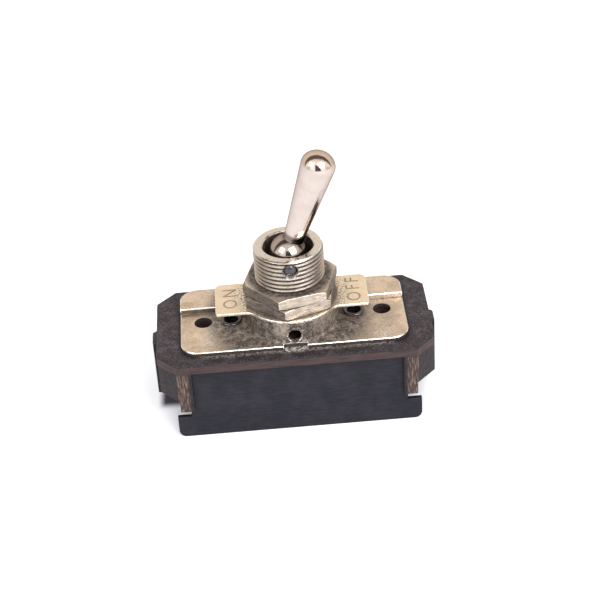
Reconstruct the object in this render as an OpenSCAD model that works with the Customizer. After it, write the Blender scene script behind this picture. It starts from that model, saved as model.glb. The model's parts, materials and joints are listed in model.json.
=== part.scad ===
// Panel toggle switch: moulded base, pressed steel cover with a drawn drum, threaded bushing,
// bat lever, two thin hex nuts, ON/OFF legend plate and a rocking contact inside.
// Millimetres. X runs along the base, Y across it, Z up the bushing, and z = 0 is the bench.

/* [Base] */
// Length of the base over its flat ends
base_l = 47.2; // [45.4:0.1:56]
// Width of the base over its flange
base_w = 22.6; // [21.6:0.1:28]
// Corner cut of the base, along its length
corner_x = 3.3; // [2.8:0.1:3.8]
// Corner cut of the base, across its width
corner_y = 3.35; // [2.4:0.05:4.5]
// Thickness of the top flange
flange_t = 1.8; // [1.4:0.1:3]
// How far the flange stands proud of the walls below it
flange_lip = 0.1; // [0.05:0.05:0.4]
// Height of the end blocks below the flange
block_h = 5.7; // [4.5:0.1:7]
// Width of the locating rib on each end
rib_w = 2.8; // [2:0.1:6]
// How far the rib stands out from the end
rib_out = 0.85; // [0.6:0.05:2]
// Height of the rib's outer shoulder above the foot of the flange
rib_rise = 0.4; // [0.1:0.05:0.6]
// Fall of the rib's top from the flange's edge to that shoulder
rib_fall = 0.4; // [0.1:0.05:0.6]
// Height of the rib and its web below the flange
rib_h = 10.6; // [8.9:0.1:12]
// Width of the four corner posts
post_w = 2.4; // [2:0.1:3.4]
// Depth of the corner posts, front to back
post_d = 3.2; // [2.4:0.1:5]
// Height of the corner posts below the flange
post_h = 7.9; // [6.5:0.1:9]
// Depth of the contact chamber below the top of the base
chamber_d = 9.1; // [8.6:0.1:10.2]
// Width of the contact chamber
chamber_w = 8.6; // [8:0.1:11]
// Thickness of the chamber floor
floor_t = 1.6; // [1.2:0.1:2.2]

/* [Barriers] */
// Height of the insulating barriers from the bench to the flange
barrier_h = 13.55; // [13:0.05:20]
// Thickness of the barrier sheet
barrier_t = 0.8; // [0.5:0.05:1]
// Thickness of the post in front of the barrier groove
groove_lip = 0.6; // [0.4:0.05:1]
// How far the barrier's edge goes into the post
groove_d = 0.7; // [0.4:0.05:1]
// Gap between the foot of a post and the barrier's ear
ear_gap = 1.45; // [0.4:0.05:2]
// How far an ear reaches past the post
ear_out = 0.7; // [0:0.1:2]
// Corner radius of the ears
ear_r = 1.3; // [0.5:0.1:2]

/* [Cover] */
// Length of the cover plate
cover_l = 38.7; // [37:0.1:42]
// Width of the cover plate
cover_w = 17.8; // [17.2:0.1:19]
// Corner radius of the cover plate
cover_r = 3.0; // [1:0.1:5]
// Thickness of the cover sheet
cover_t = 0.8; // [0.6:0.05:1]
// Height of the step pressed into the rear of the cover
step_h = 1.0; // [0.5:0.05:1.5]
// Distance of that step behind the lever's axis
step_y = 3.0; // [2.6:0.1:5]
// Outer radius of the drawn drum
drum_r = 8.0; // [7.6:0.1:8.4]
// Height of the drum above the cover
drum_h = 4.05; // [3.2:0.05:5]
// Rounding of the drum's upper edge
drum_round = 0.6; // [0.3:0.05:0.75]
// Radius where the drum is drawn up out of the flat sheet
drum_fillet = 0.5; // [0.2:0.05:0.6]
// Diameter of the hole in the front of the drum
drum_hole_d = 2.3; // [1.5:0.1:2.4]
// Height of that hole above the cover
drum_hole_z = 1.3; // [1.3:0.1:1.8]
// Width of the notch in the cover's front edge
notch_w = 4.0; // [2:0.1:6]
// Depth of the notch
notch_d = 0.7; // [0.3:0.05:0.8]
// Distance between the two mounting holes
mount_pitch = 30.9; // [29.5:0.1:31.5]
// Diameter of the mounting holes
mount_d = 3.1; // [2.5:0.1:3.4]
// Depth of the screw clearance below each mounting hole
mount_depth = 6.5; // [4:0.1:6.8]

/* [Eyelets] */
// Distance between the two eyelets
eyelet_pitch = 21.2; // [20.8:0.1:22]
// Outer diameter of the eyelet's tube
eyelet_d = 2.9; // [2.6:0.05:3.1]
// Wall of the eyelet's tube
eyelet_wall = 0.25; // [0.25:0.05:0.5]
// Diameter of the eyelet's rolled rims
eyelet_rim_d = 3.65; // [3.4:0.05:4]
// Height of the rolled rims
eyelet_rim_h = 0.4; // [0.3:0.05:0.6]

/* [Bushing] */
// Diameter over the bushing's thread
bushing_d = 11.9; // [11.6:0.1:12.4]
// Height of the bushing above the drum
bushing_h = 10.6; // [9.8:0.1:13]
// Bore of the bushing at its mouth
bore_d = 8.5; // [8.1:0.1:9]
// Depth of the thread, taken off where the nuts and the drum grip the bushing
thread_h = 0.3; // [0.25:0.05:0.35]
// Diameter of the collar clinched under the drum
collar_d = 13.2; // [12.8:0.1:14]
// Thickness of that collar
collar_t = 0.6; // [0.4:0.05:1]
// Chamfer at the bushing's mouth
mouth_chamfer = 0.25; // [0.1:0.05:0.4]

/* [Nuts and legend] */
// Width of the nuts across their flats
nut_af = 14.5; // [13.8:0.1:16]
// Thickness of each nut
nut_t = 2.0; // [1.6:0.1:2.4]
// Drop of the nuts' chamfer at their corners
nut_chamfer = 0.28; // [0.1:0.02:0.5]
// Turn of the lower nut about the bushing
nut_lower_turn = 20.5; // [0:0.5:60]
// Turn of the upper nut about the bushing
nut_upper_turn = 13.5; // [0:0.5:60]
// Length of the legend plate over its tabs
legend_l = 26.1; // [24:0.1:30]
// Width of the legend's tabs
legend_tab_w = 9.1; // [7:0.1:10]
// Radius of the legend's round middle
legend_r = 8.4; // [8.2:0.1:9]
// Thickness of the legend plate
legend_t = 0.45; // [0.3:0.05:0.8]
// Radius of the rear corners of the legend's tabs
legend_corner = 1.2; // [0.3:0.1:2]
// Radius of the front corners of the legend's tabs
legend_front_corner = 0.5; // [0.3:0.1:2]
// Radius of the fillets between the legend's tabs and its round middle
legend_fillet = 2.2; // [1:0.1:3]

/* [Lever] */
// Tilt of the lever from upright at each end of its throw
throw = 19.3; // [17:0.1:20]
// Depth of the pivot below the bushing's mouth
pivot_drop = 1.95; // [1.7:0.05:2.6]
// Diameter of the pivot pin
pin_d = 2.2; // [1.6:0.1:2.4]
// How far each end of the pin lies inside the thread
pin_sink = 0.4; // [0.2:0.05:0.8]
// Radius of the ball at the pivot
ball_r = 3.5; // [3:0.1:3.7]
// Length of the bat from the pivot to its tip
bat_l = 19.95; // [17:0.05:26]
// Height of the bat's domed end above its widest ring
bat_dome = 2.5; // [2:0.1:2.8]
// Radius of the bat's neck
neck_r = 1.75; // [1.4:0.05:1.85]
// Radius of the bat at its widest ring
bat_r = 2.95; // [2.4:0.05:3.4]
// Radius of the arm below the ball
arm_r = 1.5; // [1.4:0.05:1.6]
// Bore of the arm, for the spring and plunger
arm_bore = 1.9; // [1.7:0.05:2]

/* [Contact mechanism] */
// Turn of the rocker for each degree of the lever
rocker_ratio = 0.6; // [0.52:0.01:0.64]
// Length of the plunger's head below the arm
head_l = 2.4; // [1.8:0.1:2.8]
// Radius of the plunger's tip
tip_r = 1.2; // [1:0.05:1.3]
// Travel of the plunger into the arm
plunger_travel = 0.7; // [0.4:0.05:0.9]
// Height of the plunger's tip centre above the rocker's axis at mid throw
cradle_h = 2.5; // [2.4:0.05:2.7]
// Width of the rocker
rocker_w = 4.0; // [3.4:0.1:4.2]
// Thickness of the rocker's cradle and bar
rocker_t = 0.8; // [0.6:0.05:1]
// Radius of the rocker's trunnions
trunnion_r = 0.8; // [0.6:0.05:1]
// Distance from the end of the rocker to its contact's centre
contact_inset = 1.3; // [1.3:0.05:1.6]
// Radius of the moving contact
contact_r = 1.3; // [1:0.05:1.3]
// Height of the moving contact's dome
contact_h = 0.65; // [0.5:0.05:0.8]
// Height of the fixed contact
fixed_h = 0.5; // [0.3:0.05:0.6]
// Thickness of the terminal strip
strip_t = 0.8; // [0.6:0.05:0.9]
// Width of the solder lugs
lug_w = 3.4; // [2.6:0.1:4]
// Length of the lugs below the chamber floor
lug_l = 3.6; // [2.6:0.1:4]
// Diameter of the wire holes in the lugs
lug_hole_d = 1.6; // [1:0.1:1.8]
// Thickness of the fibre sheet over the chamber
insulator_t = 0.5; // [0.3:0.05:0.6]

/* [Fits] */
// Radial clearance of turning and sliding pieces
run_gap = 0.04; // [0.02:0.01:0.08]
// Clearance of pieces that are fixed in their seats
seat_gap = 0.05; // [0.02:0.01:0.08]
// Gap left where moving pieces meet their stops
stop_gap = 0.06; // [0.04:0.01:0.12]
// Gap between the plunger's tip and the rocker's cradle
cradle_gap = 0.15; // [0.08:0.01:0.2]
// Room round a mounting screw below the cover
screw_room = 0.25; // [0.1:0.05:0.4]

/* [Hidden] */
$fn = 64;
// Overlap of shapes that are one piece, and how far a cut runs past the face that it goes through
eps = 0.01;
over = 1;

// Levels, from the bench up
flange_z = barrier_h + seat_gap;
top_z = flange_z + flange_t;
plate_z = top_z + cover_t;
drum_z = plate_z + drum_h;
legend_z = drum_z + legend_t;
nuts_z = legend_z + 2 * nut_t;
mouth_z = drum_z + bushing_h;
pivot_z = mouth_z - pivot_drop;
floor_z = top_z - chamber_d;
core_z = floor_z - floor_t;
collar_z = drum_z - cover_t - collar_t;

// Plan of the base
post_x = base_l / 2 - corner_x;
core_x = post_x - post_w;
wall_y = base_w / 2 - flange_lip;
sheet_y = wall_y - groove_lip - seat_gap;
core_y = sheet_y - barrier_t - seat_gap;
chamber_wall = 0.75;
chamber_l = eyelet_pitch - eyelet_d - 2 * seat_gap - 2 * chamber_wall;
chamber_r = 1;
insulator_seat = 1;

// Swing of the lever's arm: its reach from the axis at a depth below the pivot
function arm_reach(depth) = depth * tan(throw) + arm_r / cos(throw);
shank_r = bushing_d / 2 - thread_h;

// Rocking contact, worked out from the fixed contact upwards
rocker_tilt = rocker_ratio * throw;
rocker_end_gap = 0.8;
rocker_l = chamber_l - 2 * rocker_end_gap;
contact_x = rocker_l / 2 - contact_inset;
dome_r = 3;
dome_c = dome_r - rocker_t / 2 - contact_h;
dome_drop = dome_r + contact_x * sin(rocker_tilt) - dome_c * cos(rocker_tilt);
fixed_z = floor_z + strip_t + fixed_h;
fulcrum_z = fixed_z + stop_gap + dome_drop;
fixed_x = contact_x * cos(rocker_tilt) + dome_c * sin(rocker_tilt);
stop_z = fulcrum_z - rocker_l / 2 * sin(rocker_tilt) - rocker_t / 2 * cos(rocker_tilt) - stop_gap;
stop_reach = 1.2;
cheek_t = 0.8;
cheek_gap = 0.4;
cheek_y = rocker_w / 2 + cheek_gap;
eye_wall = 0.8;
trunnion_end = 0.1;
foot_x = 2.2;
contact_margin = 0.3;
slot_margin = 0.8;

// Plunger and spring, measured down the arm from the pivot
head_gap = 0.1;
spring_wall = 3.4;
spring_wire_r = 0.16;
stem_l = 3.6;
tip_l = pivot_z - fulcrum_z - cradle_h;
arm_l = tip_l - head_l - plunger_travel - head_gap;
spring_top = pin_d / 2 + spring_wall;
stem_top = tip_l - head_l - stem_l;

// Path of the plunger's tip as the rocker sees it; t runs from -1 to 1 over the throw
function swing(t) = [
    -tip_l * sin(t * throw),
    pivot_z - fulcrum_z - tip_l * cos(t * throw)
];
function seen_from_rocker(p, a) = [
    p.x * cos(a) + p.y * sin(a),
    -p.x * sin(a) + p.y * cos(a)
];
function cradle_path(t) = seen_from_rocker(swing(t), t * rocker_tilt);
function cradle_normal(t) =
    let (d = cradle_path(t + 0.01) - cradle_path(t - 0.01))
    [-d.y, d.x] / norm(d);
function cradle_point(t, depth) = cradle_path(t) + depth * cradle_normal(t);

module at_lever() {
    translate([0, 0, pivot_z])
        rotate([0, throw, 0])
            children();
}

module at_rocker() {
    translate([0, 0, fulcrum_z])
        rotate([0, -rocker_tilt, 0])
            children();
}

module both_ends() {
    children();
    mirror([1, 0, 0]) children();
}

module both_sides() {
    children();
    mirror([0, 1, 0]) children();
}

module rounded_plate(l, w, r) {
    square([l - 2 * r, w], center = true);
    square([l, w - 2 * r], center = true);
    for (x = [-1, 1], y = [-1, 1])
        translate([x * (l / 2 - r), y * (w / 2 - r)])
            circle(r);
}

// A slab that stands across the base: a front view, drawn in x and z, given a thickness in y
module front_profile(y, t) {
    translate([0, y, 0])
        rotate([90, 0, 0])
            linear_extrude(t)
                children();
}

module octagon(inset) {
    x = base_l / 2 - inset;
    y = base_w / 2 - inset;
    cx = corner_x;
    cy = corner_y;
    polygon([
        [x, y - cy], [x - cx, y], [cx - x, y], [-x, y - cy],
        [-x, cy - y], [cx - x, -y], [x - cx, -y], [x, cy - y]
    ]);
}

// Base: flange, end blocks with ribs, grooved corner posts and the core round the chamber.
// What hangs from the flange reaches a little way into it.
module end_block() {
    translate([0, 0, flange_z - block_h])
        linear_extrude(block_h + eps)
            intersection() {
                octagon(flange_lip);
                translate([core_x, -base_w])
                    square([base_l, 2 * base_w]);
            }
}

module corner_post() {
    difference() {
        translate([core_x, -wall_y, flange_z - post_h])
            cube([post_w, post_d, post_h + eps]);
        translate([core_x - eps, -sheet_y - seat_gap, flange_z - post_h - eps])
            cube([groove_d + seat_gap + eps, barrier_t + 2 * seat_gap, post_h + eps]);
    }
}

// The rib is the outer edge of a web that braces the end block against the core
module end_rib() {
    x = base_l / 2;
    front_profile(rib_w / 2, rib_w)
        polygon([
            [core_x - eps, flange_z + eps],
            [x - eps, flange_z + rib_rise + rib_fall],
            [x + rib_out, flange_z + rib_rise],
            [x + rib_out, flange_z - rib_h],
            [core_x - eps, flange_z - rib_h]
        ]);
}

module core_block() {
    translate([-core_x - eps, -core_y, core_z])
        cube([2 * (core_x + eps), 2 * core_y, flange_z - core_z + eps]);
}

module chamber() {
    translate([0, 0, floor_z])
        linear_extrude(chamber_d + over)
            rounded_plate(chamber_l, chamber_w, chamber_r);
    translate([0, 0, top_z - insulator_t])
        linear_extrude(insulator_t + over)
            rounded_plate(
                chamber_l, chamber_w + 2 * insulator_seat + 2 * seat_gap, chamber_r);
}

module idle_stop() {
    x = rocker_l / 2 - stop_reach;
    translate([-chamber_l / 2 - eps, -rocker_w / 2, floor_z - eps])
        cube([chamber_l / 2 - x + eps, rocker_w, stop_z - floor_z + eps]);
}

module lug_slot(x) {
    translate([x - strip_t / 2 - seat_gap, -lug_w / 2 - seat_gap, core_z - over])
        cube([strip_t + 2 * seat_gap, lug_w + 2 * seat_gap, floor_t + 2 * over]);
}

module base() {
    color("#2b2a2d")
        difference() {
            union() {
                translate([0, 0, flange_z])
                    linear_extrude(flange_t)
                        octagon(0);
                difference() {
                    union() {
                        core_block();
                        both_ends() {
                            end_block();
                            end_rib();
                        }
                    }
                    both_ends()
                        both_sides()
                            translate([core_x - eps, -base_w / 2, core_z - over])
                                cube([groove_d + seat_gap + eps, base_w / 2 - core_y,
                                    flange_z - core_z + over]);
                }
                both_ends()
                    both_sides()
                        corner_post();
            }
            difference() {
                chamber();
                idle_stop();
            }
            lug_slot(0);
            lug_slot(fixed_x);
            both_ends() {
                translate([eyelet_pitch / 2, 0, core_z - over])
                    cylinder(d = eyelet_d + 2 * seat_gap, h = top_z - core_z + 2 * over);
                translate([mount_pitch / 2, 0, top_z - mount_depth])
                    cylinder(d = mount_d + 2 * screw_room, h = mount_depth + over);
            }
        }
}

// Barriers: flat sheets slid up the posts' grooves, with ears below the posts
module barrier_outline() {
    half = core_x + groove_d;
    ear_x = post_x + ear_out;
    ear_z = flange_z - post_h - ear_gap;
    translate([-half, ear_z - eps])
        square([2 * half, barrier_h - ear_z + eps]);
    translate([-ear_x, ear_r])
        square([2 * ear_x, ear_z - ear_r]);
    translate([-ear_x + ear_r, 0])
        square([2 * (ear_x - ear_r), ear_r + eps]);
    for (s = [-1, 1])
        translate([s * (ear_x - ear_r), ear_r])
            circle(ear_r);
}

module barrier_front() {
    color("#33384a")
        front_profile(-sheet_y + barrier_t, barrier_t)
            barrier_outline();
}

module barrier_rear() {
    color("#33384a")
        front_profile(sheet_y, barrier_t)
            barrier_outline();
}

// Fibre sheet that keeps the live rocker off the steel cover, slotted for the lever's arm
module insulator() {
    slot_l = 2 * (arm_reach(pivot_z - top_z + insulator_t) + slot_margin);
    slot_w = rocker_w + 2 * slot_margin;
    color("#8a5a35")
        translate([0, 0, top_z - insulator_t])
            linear_extrude(insulator_t)
                difference() {
                    rounded_plate(chamber_l - 2 * seat_gap, chamber_w + 2 * insulator_seat,
                        chamber_r - seat_gap);
                    rounded_plate(slot_l, slot_w, chamber_r);
                }
}

// Cover: one pressed sheet, stepped up behind the lever and drawn up into the drum
module cover_plan() {
    rounded_plate(cover_l, cover_w, cover_r);
}

module cover_band(y0, y1, z, h) {
    translate([0, 0, z])
        linear_extrude(h)
            intersection() {
                cover_plan();
                translate([-cover_l, y0])
                    square([2 * cover_l, y1 - y0]);
            }
}

module drum_profile(r, z, round_r) {
    square([r, z - round_r]);
    square([r - round_r, z]);
    translate([r - round_r, z - round_r])
        circle(round_r);
}

module drum_solid(r, z, round_r) {
    translate([0, 0, top_z])
        rotate_extrude()
            intersection() {
                drum_profile(r, z - top_z, round_r);
                square([r + over, z]);
            }
}

// Hollow ring that fairs the drum's foot into the sheet, between two lines across the cover
module drum_foot(y0, y1, z) {
    reach = drum_r + drum_fillet;
    intersection() {
        translate([0, 0, z])
            rotate_extrude()
                difference() {
                    translate([drum_r - eps, -eps])
                        square([drum_fillet + eps, drum_fillet + eps]);
                    translate([reach, drum_fillet])
                        circle(drum_fillet);
                }
        translate([-reach, y0, z - eps])
            cube([2 * reach, y1 - y0, drum_fillet + eps]);
    }
}

module cover() {
    inner_r = drum_r - cover_t;
    color("#cfc4ad")
        difference() {
            union() {
                cover_band(-cover_w, step_y + cover_t, top_z, cover_t);
                cover_band(step_y, step_y + cover_t, top_z, cover_t + step_h);
                cover_band(step_y, cover_w, top_z + step_h, cover_t);
                drum_solid(drum_r, drum_z, drum_round);
                drum_foot(-cover_w / 2, step_y, plate_z);
                drum_foot(step_y, cover_w / 2, plate_z + step_h);
            }
            translate([0, 0, top_z - over])
                cylinder(r = inner_r, h = drum_h + over);
            translate([0, 0, top_z])
                cylinder(r = shank_r + seat_gap, h = drum_h + cover_t + over);
            translate([0, 0, plate_z + drum_hole_z])
                rotate([90, 0, 0])
                    cylinder(d = drum_hole_d, h = drum_r + over);
            translate([-notch_w / 2, -cover_w / 2 - over, top_z - over])
                cube([notch_w, notch_d + over, cover_t + drum_fillet + 2 * over]);
            both_ends() {
                translate([eyelet_pitch / 2, 0, top_z - over])
                    cylinder(d = eyelet_d + 2 * seat_gap, h = cover_t + 2 * over);
                translate([mount_pitch / 2, 0, top_z - over])
                    cylinder(d = mount_d, h = cover_t + 2 * over);
            }
        }
}

// Eyelets: tubes rolled over on the cover and under the core
module eyelet() {
    r_in = eyelet_d / 2 - eyelet_wall;
    round_r = eyelet_rim_h / 2;
    r_rim = max(eyelet_rim_d / 2, r_in + eyelet_rim_h + eps);
    color("#b9b0a0")
        translate([eyelet_pitch / 2, 0, 0])
            rotate_extrude() {
                translate([r_in, core_z - round_r])
                    square([eyelet_wall, plate_z - core_z + 2 * round_r]);
                for (z = [core_z - eyelet_rim_h, plate_z]) {
                    translate([r_in + round_r, z])
                        square([r_rim - r_in - 2 * round_r, eyelet_rim_h]);
                    for (r = [r_in + round_r, r_rim - round_r])
                        translate([r, z + round_r])
                            circle(round_r);
                }
            }
}

module eyelet_left() {
    mirror([1, 0, 0])
        eyelet();
}

module eyelet_right() {
    eyelet();
}

// Bushing: shouldered on the drum, clinched under it, bored for the ball and relieved for the arm
module bushing() {
    r = bushing_d / 2;
    bore_r = bore_d / 2;
    foot_r = arm_reach(pivot_z - collar_z) + stop_gap;
    flare_z = pivot_z - (bore_r - stop_gap - arm_r / cos(throw)) / tan(throw);
    color("#a89f93")
        difference() {
            rotate_extrude()
                polygon([
                    [bore_r + mouth_chamfer, mouth_z], [r - mouth_chamfer, mouth_z],
                    [r, mouth_z - mouth_chamfer], [r, nuts_z],
                    [shank_r, nuts_z], [shank_r, legend_z],
                    [r, legend_z], [r, drum_z],
                    [shank_r, drum_z], [shank_r, drum_z - cover_t],
                    [collar_d / 2, drum_z - cover_t], [collar_d / 2, collar_z],
                    [foot_r, collar_z], [bore_r, flare_z],
                    [bore_r, mouth_z - mouth_chamfer]
                ]);
            translate([0, 0, pivot_z])
                rotate([90, 0, 0])
                    cylinder(d = pin_d + 2 * seat_gap, h = bushing_d + 2 * over, center = true);
        }
}

// Legend: a washer with two square tabs filleted into it; its lettering isn't part of the solid
module legend_web() {
    y = legend_tab_w / 2 + legend_fillet;
    x = sqrt(pow(legend_r + legend_fillet, 2) - y * y);
    difference() {
        polygon([[0, 0], [x, 0], [x, y]]);
        translate([x, y])
            circle(legend_fillet);
    }
}

module legend_tabs() {
    half_w = legend_tab_w / 2;
    for (side = [[1, legend_corner], [-1, legend_front_corner]])
        intersection() {
            rounded_plate(legend_l, legend_tab_w, side[1]);
            translate([0, side[0] * half_w / 2])
                square([legend_l, half_w], center = true);
        }
}

module legend_plate() {
    color("#ddd0b4")
        translate([0, 0, drum_z])
            linear_extrude(legend_t)
                difference() {
                    union() {
                        legend_tabs();
                        circle(legend_r);
                        both_ends()
                            both_sides()
                                legend_web();
                    }
                    circle(bushing_d / 2 + seat_gap);
                }
}

// Thin hex nut, with its corners chamfered on both faces, and bored to the root of the thread
module hex_nut(z, turn) {
    corner_r = nut_af / 2 / cos(30);
    face_r = nut_af / 2 * 1.05;
    color("#b3aa9c")
        translate([0, 0, z])
            difference() {
                intersection() {
                    rotate(turn)
                        cylinder(r = corner_r, h = nut_t, $fn = 6);
                    rotate_extrude()
                        polygon([
                            [0, 0], [face_r, 0], [corner_r, nut_chamfer],
                            [corner_r, nut_t - nut_chamfer], [face_r, nut_t], [0, nut_t]
                        ]);
                }
                translate([0, 0, -over])
                    cylinder(r = shank_r + seat_gap, h = nut_t + 2 * over);
            }
}

module nut_lower() {
    hex_nut(legend_z, nut_lower_turn);
}

module nut_upper() {
    hex_nut(legend_z + nut_t, nut_upper_turn);
}

module pivot_pin() {
    color("#77716a")
        translate([0, 0, pivot_z])
            rotate([90, 0, 0])
                cylinder(d = pin_d, h = bushing_d - 2 * pin_sink, center = true);
}

// Lever: bat, ball and hollow arm in one piece, drawn upright about the pivot and then tilted
module lever() {
    end_z = bat_l - bat_dome;
    slope = atan((bat_r - neck_r) / (end_z - ball_r));
    meet = atan(bat_dome / bat_r * tan(slope));
    color("#dedede")
        at_lever()
            difference() {
                union() {
                    sphere(ball_r);
                    cylinder(r = neck_r, h = ball_r);
                    translate([0, 0, ball_r])
                        cylinder(r1 = neck_r, r2 = bat_r * cos(meet),
                            h = end_z - bat_dome * sin(meet) - ball_r);
                    translate([0, 0, end_z])
                        scale([1, 1, bat_dome / bat_r])
                            sphere(bat_r);
                    translate([0, 0, -arm_l])
                        cylinder(r = arm_r, h = arm_l);
                }
                rotate([90, 0, 0])
                    cylinder(d = pin_d + 2 * run_gap, h = 3 * ball_r, center = true);
                translate([0, 0, -arm_l - over])
                    cylinder(d = arm_bore, h = arm_l + over - spring_top);
            }
}

// Plunger and the spring that drives it out of the arm
module plunger() {
    color("#c9b58a")
        at_lever()
            translate([0, 0, -tip_l]) {
                sphere(tip_r);
                cylinder(r = tip_r, h = head_l);
                translate([0, 0, head_l - eps])
                    cylinder(d = arm_bore - 2 * run_gap, h = stem_l + eps);
            }
}

module plunger_spring() {
    wire_r = spring_wire_r;
    turns = 6;
    steps = 14;
    sides = 6;
    coil_r = arm_bore / 2 - run_gap - wire_r;
    rise = stem_top - spring_top - 2 * wire_r;
    rings = turns * steps;
    points = [
        for (i = [0 : rings], k = [0 : sides - 1])
            let (a = 360 * i / steps, b = 360 * k / sides)
            let (r = coil_r + wire_r * cos(b))
            [r * cos(a), r * sin(a), rise * i / rings + wire_r * sin(b)]
    ];
    walls = [
        for (i = [0 : rings - 1], k = [0 : sides - 1])
            let (n = (k + 1) % sides)
            [i * sides + k, i * sides + n, (i + 1) * sides + n, (i + 1) * sides + k]
    ];
    ends = [
        [for (k = [sides - 1 : -1 : 0]) k],
        [for (k = [0 : sides - 1]) rings * sides + k]
    ];
    color("#8d8d90")
        at_lever()
            translate([0, 0, wire_r - stem_top])
                polyhedron(points, concat(walls, ends));
}

// Rocker: contact bar with a cradle that follows the plunger's tip, turning on two trunnions
module cradle_outline() {
    reach = 1.12;
    near = tip_r + cradle_gap;
    far = near + rocker_t;
    polygon(concat(
        [for (i = [-14 : 14]) cradle_point(reach * i / 14, near)],
        [for (i = [14 : -1 : -14]) cradle_point(reach * i / 14, far)]
    ));
}

module rocker() {
    color("#b98a4a")
        at_rocker() {
            front_profile(rocker_w / 2, rocker_w) {
                cradle_outline();
                square([rocker_l, rocker_t], center = true);
            }
            rotate([90, 0, 0])
                cylinder(r = trunnion_r, h = 2 * (cheek_y + cheek_t + trunnion_end), center = true);
        }
}

module moving_contact() {
    color("#d8d8d4")
        at_rocker()
            translate([contact_x, 0, 0])
                intersection() {
                    translate([0, 0, dome_c])
                        sphere(dome_r);
                    translate([0, 0, -rocker_t / 2 - contact_h - over])
                        cylinder(r = contact_r, h = contact_h + over);
                }
}

// Terminals: strips staked through the chamber floor, each ending in a solder lug
module lug(x) {
    difference() {
        translate([x - strip_t / 2, -lug_w / 2, core_z - lug_l])
            cube([strip_t, lug_w, lug_l + floor_t + eps]);
        translate([x, 0, core_z - lug_l / 2])
            rotate([0, 90, 0])
                cylinder(d = lug_hole_d, h = strip_t + 2 * over, center = true);
    }
}

module bearing_cheek() {
    eye_r = trunnion_r + eye_wall;
    translate([0, cheek_y + cheek_t, fulcrum_z])
        rotate([90, 0, 0])
            linear_extrude(cheek_t)
                difference() {
                    union() {
                        circle(eye_r);
                        translate([-eye_r, floor_z - fulcrum_z])
                            square([2 * eye_r, fulcrum_z - floor_z]);
                    }
                    circle(trunnion_r + run_gap);
                }
}

module terminal_common() {
    color("#c29a52") {
        both_sides()
            bearing_cheek();
        translate([-foot_x, -cheek_y - cheek_t, floor_z])
            cube([2 * foot_x, 2 * (cheek_y + cheek_t), strip_t]);
        lug(0);
    }
}

module terminal_on() {
    foot_half = contact_r + contact_margin;
    color("#c29a52") {
        translate([fixed_x - foot_half, -lug_w / 2, floor_z])
            cube([2 * foot_half, lug_w, strip_t]);
        lug(fixed_x);
    }
}

module fixed_contact() {
    color("#d8d8d4")
        translate([fixed_x, 0, floor_z + strip_t])
            cylinder(r = contact_r, h = fixed_h);
}

base();
barrier_front();
barrier_rear();
insulator();
cover();
eyelet_left();
eyelet_right();
bushing();
legend_plate();
nut_lower();
nut_upper();
pivot_pin();
lever();
plunger_spring();
plunger();
rocker();
moving_contact();
terminal_common();
terminal_on();
fixed_contact();
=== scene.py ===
"""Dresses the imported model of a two-position selector switch: soft edges, thread, stamped words,
aged finishes, a plain studio and the camera. Lengths are in metres unless a name says otherwise."""
import json
import math

import bmesh
import bpy
from bpy.props import FloatProperty, FloatVectorProperty, PointerProperty
from mathutils import Matrix, Vector


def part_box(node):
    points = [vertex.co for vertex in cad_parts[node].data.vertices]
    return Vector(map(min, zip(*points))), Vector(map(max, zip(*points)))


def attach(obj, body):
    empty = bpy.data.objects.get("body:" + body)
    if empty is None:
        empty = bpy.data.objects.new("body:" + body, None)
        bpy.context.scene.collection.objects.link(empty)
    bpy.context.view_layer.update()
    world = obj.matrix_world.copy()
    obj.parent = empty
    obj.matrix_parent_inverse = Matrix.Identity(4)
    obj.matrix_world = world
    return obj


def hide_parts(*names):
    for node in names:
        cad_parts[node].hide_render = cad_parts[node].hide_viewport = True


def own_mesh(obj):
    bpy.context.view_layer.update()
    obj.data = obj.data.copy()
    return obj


bl_info = {
    "name": "Selector Switch",
    "version": (1, 0, 0),
    "blender": (4, 5, 0),
    "location": "View3D > Sidebar > Switch",
    "description": "Edges, thread, words, finishes and studio for a panel selector switch",
    "category": "Object",
}

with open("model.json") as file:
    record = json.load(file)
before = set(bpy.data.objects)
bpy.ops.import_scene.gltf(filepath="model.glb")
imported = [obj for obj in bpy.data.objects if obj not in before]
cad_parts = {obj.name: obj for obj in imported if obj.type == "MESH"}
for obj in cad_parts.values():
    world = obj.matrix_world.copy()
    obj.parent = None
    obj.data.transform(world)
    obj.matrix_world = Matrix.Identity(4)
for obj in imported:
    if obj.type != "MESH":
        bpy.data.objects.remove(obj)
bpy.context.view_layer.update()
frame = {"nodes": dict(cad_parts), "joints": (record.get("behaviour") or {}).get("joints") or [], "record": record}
MM = 0.001
# Beyond any place on the switch, and the end of a normal's range
FAR = 1.0

# Places taken from the frame
BASE_LOW, BASE_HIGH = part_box("base")
COVER_LOW, COVER_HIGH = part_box("cover")
BUSHING_LOW, BUSHING_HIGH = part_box("bushing")
LEGEND_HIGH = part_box("legend_plate")[1]
PIN_LOW, PIN_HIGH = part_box("pivot_pin")
FLANGE_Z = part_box("barrier_front")[1].z
NUTS_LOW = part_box("nut_lower")[0].z
NUTS_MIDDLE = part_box("nut_lower")[1].z
NUTS_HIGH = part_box("nut_upper")[1].z
THREAD_R = frame["record"]["mounts"][0]["dims"]["r_mm"] * MM
PIVOT = Vector(next(j["pos_m"] for j in frame["joints"] if j["name"] == "lever_tilt"))
PLUNGER = next(j for j in frame["joints"] if j["name"] == "plunger_slide")
LEVER_AXIS = Vector(PLUNGER["axis"])

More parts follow.
